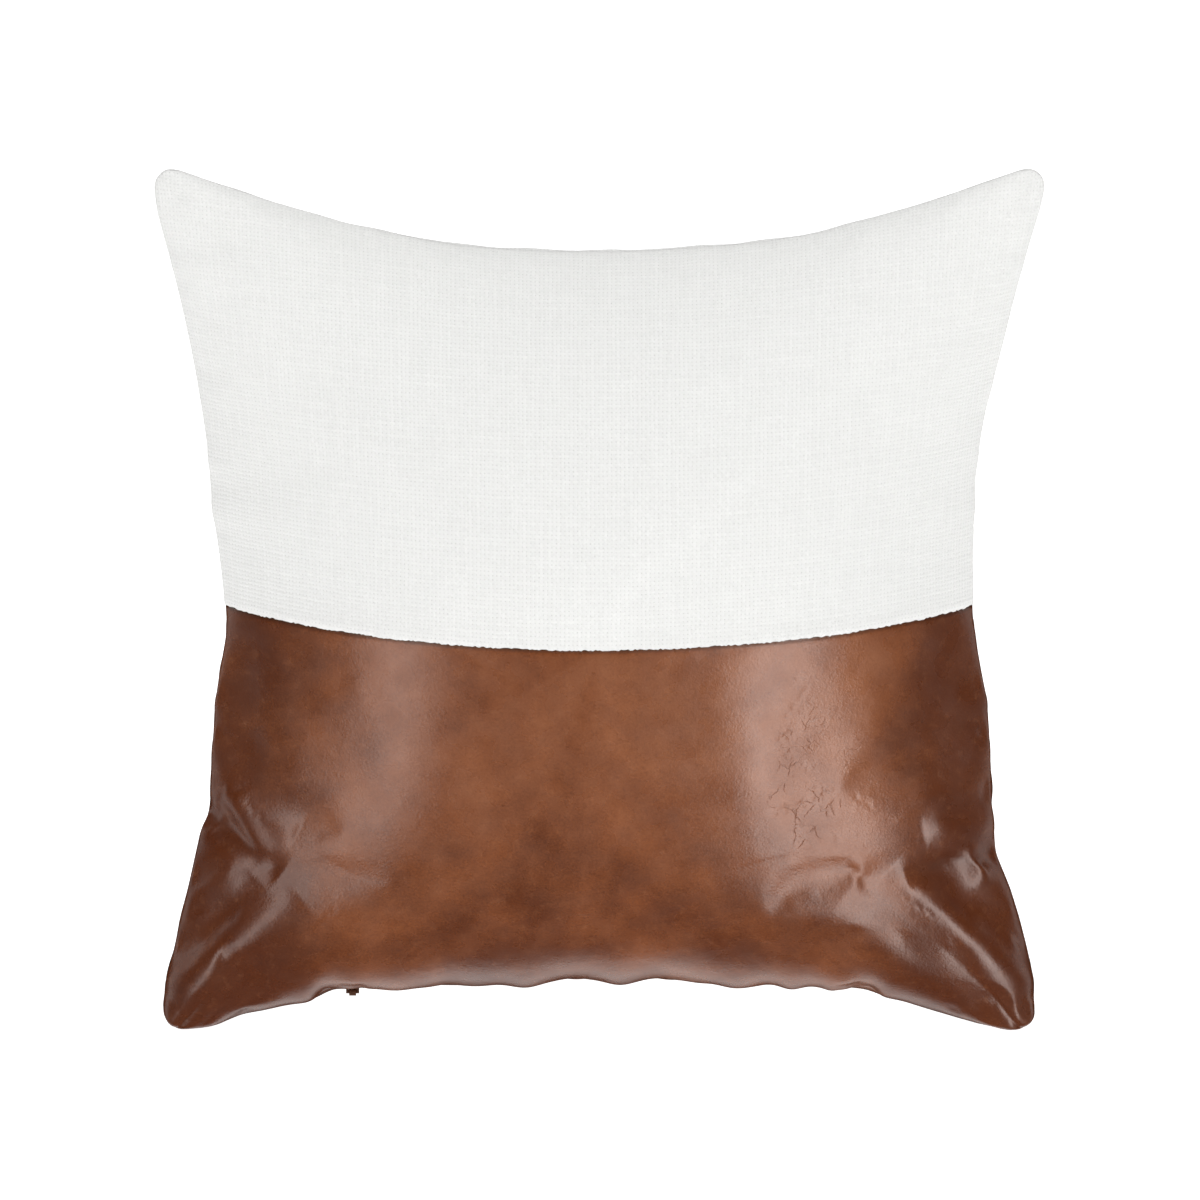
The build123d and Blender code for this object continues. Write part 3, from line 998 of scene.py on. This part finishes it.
def brown_leather(name):
    """Waxed pull-up leather: mottled, with fine grain and wandering small creases."""
    make = Maker(name)
    place = make.place()
    parts = make.add("ShaderNodeSeparateXYZ")
    make.put(place, parts.inputs[0])
    clouds = make.noise(place, 11, 4, 0.55)
    patches = make.noise(place, 42, 5, 0.62)
    specks = make.noise(place, 900, 4, 0.7)
    # painted light and shade: lighter up by the cross seam, darker towards the bottom where the
    # leather turns down away from the light
    shade_low_down = make.span(parts.outputs[1], -0.205, -0.070, -0.07, 0.04)
    off_centre = make.math("ABSOLUTE", parts.outputs[0])
    # painted shade: dark bands down both sides, where the curving leather catches no reflection
    shade_at_sides = make.span(off_centre, 0.135, 0.180, 0.02, -0.13)
    mottle_and_shade = make.math("ADD", make.math("MULTIPLY", clouds, 0.34), 0.13)
    mottle_and_shade = make.math("ADD", mottle_and_shade, make.math("MULTIPLY", patches, 0.22))
    mottle_and_shade = make.math("ADD", mottle_and_shade, make.math("MULTIPLY", specks, 0.22))
    # the random mottle gets the painted shade at the bottom and the sides added in
    mottle_and_shade = make.math("ADD", mottle_and_shade, make.math("MAXIMUM", make.math("ADD", shade_low_down, shade_at_sides), -0.13))
    ramp = make.add("ShaderNodeValToRGB")
    stops = [
        (0.34, (0.084, 0.0180, 0.0042, 1)),
        (0.45, (0.114, 0.0290, 0.0084, 1)),
        (0.56, (0.208, 0.0620, 0.0200, 1)),
        (0.69, (0.292, 0.1010, 0.0395, 1)),
    ]
    while len(ramp.color_ramp.elements) < len(stops):
        ramp.color_ramp.elements.new(0.5)
    for element, (at, colour) in zip(ramp.color_ramp.elements, stops):
        element.position = at
        element.color = colour
    make.put(mottle_and_shade, ramp.inputs[0])
    brown = ramp.outputs[0]
    # thin cracks in webs, most of them where the leather has been squeezed
    strayed = make.add("ShaderNodeTexNoise")
    make.put(place, strayed.inputs["Vector"])
    strayed.inputs["Scale"].default_value = 110
    strayed.inputs["Detail"].default_value = 3
    bent = make.add("ShaderNodeVectorMath", operation="MULTIPLY_ADD")
    make.put(strayed.outputs["Color"], bent.inputs[0])
    bent.inputs[1].default_value = (0.012, 0.012, 0)
    make.put(place, bent.inputs[2])
    web = make.cells(bent.outputs[0], 120, "DISTANCE_TO_EDGE")
    crack = make.span(web, 0.0, 0.040, 1.0, 0.0)
    squeezed = make.add("ShaderNodeVectorMath", operation="MULTIPLY_ADD")
    make.put(place, squeezed.inputs[0])
    squeezed.inputs[1].default_value = (1.3, 0.75, 0)
    squeezed.inputs[2].default_value = (-0.137, 0.056, 0)
    far = make.add("ShaderNodeVectorMath", operation="LENGTH")
    make.put(squeezed.outputs[0], far.inputs[0])
    zone = make.span(far.outputs["Value"], 0.020, 0.048, 0.26, 0.0)
    where = make.math("ADD", make.noise(place, 38, 3), zone)
    crack = make.math("MULTIPLY", crack, make.span(where, 0.64, 0.78))
    crack = make.math("MULTIPLY", crack, make.span(make.noise(place, 130, 2), 0.42, 0.58))
    brown = make.mix(make.math("MULTIPLY", crack, 0.26), brown, (0.035, 0.008, 0.003))
    # painted shadow: a dark line on the leather just under the cloth's edge at the cross seam
    painted_seam_shadow = make.span(parts.outputs[1], -0.0034, -0.0014, 0.0, 0.85)
    brown = make.mix(painted_seam_shadow, brown, (0.030, 0.009, 0.004))
    pebbles = make.cells(place, 950, "SMOOTH_F1")
    brown = make.mix(make.span(pebbles, 0.45, 0.75, 0.0, 0.18), brown, (0.060, 0.016, 0.006))
    pale = make.span(make.noise(place, 170, 6, 0.72), 0.55, 0.74, 0.0, 0.26)
    brown = make.mix(pale, brown, (0.32, 0.125, 0.052))
    roughness = make.span(make.noise(place, 60, 4), 0.3, 0.7, 0.23, 0.33)
    fine = make.bump(make.noise(place, 1700, 3, 0.6), 0.00007, 0.5)
    fine = make.bump(pebbles, 0.00011, 0.5, fine)
    creased = make.bump(make.math("SUBTRACT", 1.0, crack), 0.00018, 0.5, fine)
    uneven = make.bump(make.noise(place, 95, 3), 0.0008, 0.22, creased)
    return make.finish(
        brown,
        roughness,
        uneven,
        Specular_IOR_Level=0.55,
        Specular_Tint=(1.0, 0.92, 0.88, 1.0),
        Coat_Weight=0.08,
        Coat_Roughness=0.25,
    )


def plain(name, colour, other, scale, roughness, metallic=0.0, depth=0.0001):
    """A finish with slight unevenness, placed by the piece's own coordinates."""
    make = Maker(name)
    place = make.add("ShaderNodeTexCoord").outputs["Object"]
    patches = make.noise(place, scale, 3)
    tone = make.mix(make.span(patches, 0.3, 0.7), colour, other)
    normal = make.bump(make.noise(place, scale * 4, 2), depth, 0.4)
    spread_out = make.span(patches, 0.3, 0.7, roughness - 0.06, roughness + 0.06)
    return make.finish(tone, spread_out, normal, Metallic=metallic)


def taped(name, colour, other, pitch, roughness=0.85):
    """A narrow woven tape, placed by the piece's own coordinates."""
    make = Maker(name)
    place = make.add("ShaderNodeTexCoord").outputs["Object"]
    parts = make.add("ShaderNodeSeparateXYZ")
    make.put(place, parts.inputs[0])
    across = make.math("ADD", parts.outputs[1], parts.outputs[2])
    waves = [
        make.math("SINE", make.math("MULTIPLY", value, pi / pitch))
        for value in (parts.outputs[0], across)
    ]
    height = make.math("ABSOLUTE", make.math("MULTIPLY", waves[0], waves[1]))
    tone = make.mix(height, colour, other)
    normal = make.bump(height, pitch * 0.15, 0.6)
    return make.finish(tone, roughness, normal, Specular_IOR_Level=0.2)


# the second colour is painted shade for the gaps between the threads
cloth_white = woven(
    "white_weave", WEAVE_PITCH, (0.845, 0.845, 0.83), (0.50, 0.50, 0.485), 0.00034
)
leather_brown = brown_leather("brown_leather")
casing_cloth = taped("casing_cloth", (0.78, 0.78, 0.76), (0.87, 0.87, 0.86), 0.0006)
fibre = plain("polyester_fibre", (0.82, 0.82, 0.82), (0.92, 0.92, 0.92), 300, 0.9)
thread_brown = taped("brown_thread", (0.09, 0.035, 0.02), (0.16, 0.07, 0.04), 0.0004)
thread_white = taped("white_thread", (0.70, 0.70, 0.68), (0.85, 0.85, 0.83), 0.0004)
tape_brown = taped("zip_tape", (0.045, 0.018, 0.010), (0.090, 0.038, 0.022), 0.0007)
teeth_brown = plain("zip_teeth", (0.050, 0.020, 0.012), (0.075, 0.032, 0.020), 400, 0.4)
metal_brown = plain(
    "zip_metal", (0.110, 0.040, 0.018), (0.14, 0.055, 0.028), 500, 0.4, 0.5, 0.00003
)
label_cloth = taped("label_tape", (0.75, 0.75, 0.73), (0.86, 0.86, 0.84), 0.0005, 0.6)


def dress(thing, material):
    thing.data.materials.clear()
    thing.data.materials.append(material)


for piece in (front_cloth, back_cloth):
    dress(piece, cloth_white)
for piece in (front_leather, back_leather):
    dress(piece, leather_brown)
for piece in casing_pieces:
    dress(piece, casing_cloth)
dress(filling, fibre)
dress(side_thread, thread_brown)
for face in ("front", "back"):
    dress(bpy.data.objects[f"{face}_cross_seam_thread"], thread_brown)
dress(cover_label, label_cloth)
dress(insert_label, label_cloth)

NODE_MATERIALS = {
    "zipper_tape_front": tape_brown,
    "zipper_tape_back": tape_brown,
    "zipper_teeth_front": teeth_brown,
    "zipper_teeth_back": teeth_brown,
    "zipper_top_stops": metal_brown,
    "zipper_bottom_stop": metal_brown,
    "zipper_stitching": thread_brown,
    "zipper_slider": metal_brown,
    "zipper_pull_tab": metal_brown,
    "insert_seam_stitching": thread_white,
    "insert_closing_stitches": thread_white,
}
for node, material in NODE_MATERIALS.items():
    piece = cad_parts[node]
    piece.data.materials.clear()
    piece.data.materials.append(material)

# ---------------------------------------------------------------- floor, light, camera


def flat_surface(name, size, place, material):
    bpy.ops.mesh.primitive_plane_add(size=size, location=place)
    made = bpy.context.object
    made.name = name
    made.data.materials.append(material)
    return made


floor_make = Maker("floor_white")
floor_make.finish((0.60, 0.60, 0.60, 1.0), 0.9, None, Specular_IOR_Level=0.0)
floor_make.shader.inputs["Emission Color"].default_value = (1, 1, 1, 1)
floor_make.shader.inputs["Emission Strength"].default_value = 1.02
floor = flat_surface("floor", 40, (0, 0, -0.0005), floor_make.material)
floor.visible_glossy = False
floor.visible_shadow = False

backdrop_make = Maker("backdrop_white")
backdrop_make.finish((0.0, 0.0, 0.0, 1.0), 0.9, None, Specular_IOR_Level=0.0)
backdrop_make.shader.inputs["Emission Color"].default_value = (1, 1, 1, 1)
backdrop_make.shader.inputs["Emission Strength"].default_value = 1.02
bpy.ops.mesh.primitive_uv_sphere_add(segments=48, ring_count=24, radius=19)
backdrop = bpy.context.object
backdrop.name = "backdrop"
backdrop.data.materials.append(backdrop_make.material)
backdrop.visible_diffuse = False
backdrop.visible_glossy = False
backdrop.visible_shadow = False


def lamp(name, place, target, width, height, power):
    data = bpy.data.lights.new(name, "AREA")
    data.shape = "RECTANGLE"
    data.size, data.size_y = width, height
    data.energy = power
    made = bpy.data.objects.new(name, data)
    bpy.context.scene.collection.objects.link(made)
    made.location = place
    aim = Vector(target) - Vector(place)
    made.rotation_euler = aim.to_track_quat("-Z", "Y").to_euler()
    return made


TARGET = (0, 0, 0.2)
lamp("softbox_right", (1.00, -1.14, -0.1), (0, 0, 0.1), 0.65, 2.8, 8)
lamp("softbox_left", (-1.10, -1.10, 0.1), (0, 0, 0.1), 0.6, 2.4, 4)
lamp("top", (0, -0.5, 2.3), TARGET, 3.0, 3.0, 52)
behind = lamp("softbox_back", (0, 1.8, 0.9), TARGET, 2.0, 1.5, 12)
behind.visible_glossy = False
behind.visible_camera = False
for name, place, width, height, power in (
    ("shine_right", (1.06, -1.09, -0.1), 0.52, 2.8, 20),
    ("shine_left", (-1.22, -1.00, 0.1), 0.42, 2.4, 8),
    ("shine_edge_left", (-1.25, 0.40, 0.3), 0.40, 2.2, 2.5),
    ("shine_edge_right", (1.25, 0.40, 0.3), 0.40, 2.2, 2.5),
    ("shine_below", (0, 0.50, -0.9), 2.4, 0.5, 5),
):
    shine = lamp(name, place, (0, 0, 0.1), width, height, power)
    shine.visible_diffuse = False

world = bpy.data.worlds.new("studio")
bpy.context.scene.world = world
world.use_nodes = True
world.node_tree.nodes["Background"].inputs[0].default_value = (1, 1, 1, 1)
world.node_tree.nodes["Background"].inputs[1].default_value = 0.09
world.cycles_visibility.glossy = False

PICTURE_WIDTH = 0.5825
LENS = 400
camera_data = bpy.data.cameras.new("camera")
camera_data.lens = LENS
camera_data.sensor_width = 36
camera_data.clip_end = 100
camera = bpy.data.objects.new("camera", camera_data)
bpy.context.scene.collection.objects.link(camera)
distance = PICTURE_WIDTH * LENS / 36
look_at = Vector((0, 0, TOP_Z / 2))
camera.location = look_at + distance * Vector((0, -cos(VIEW_TILT), sin(VIEW_TILT)))
camera.rotation_euler = (look_at - camera.location).to_track_quat("-Z", "Y").to_euler()
bpy.context.scene.camera = camera
bpy.context.scene.view_settings.view_transform = "Standard"
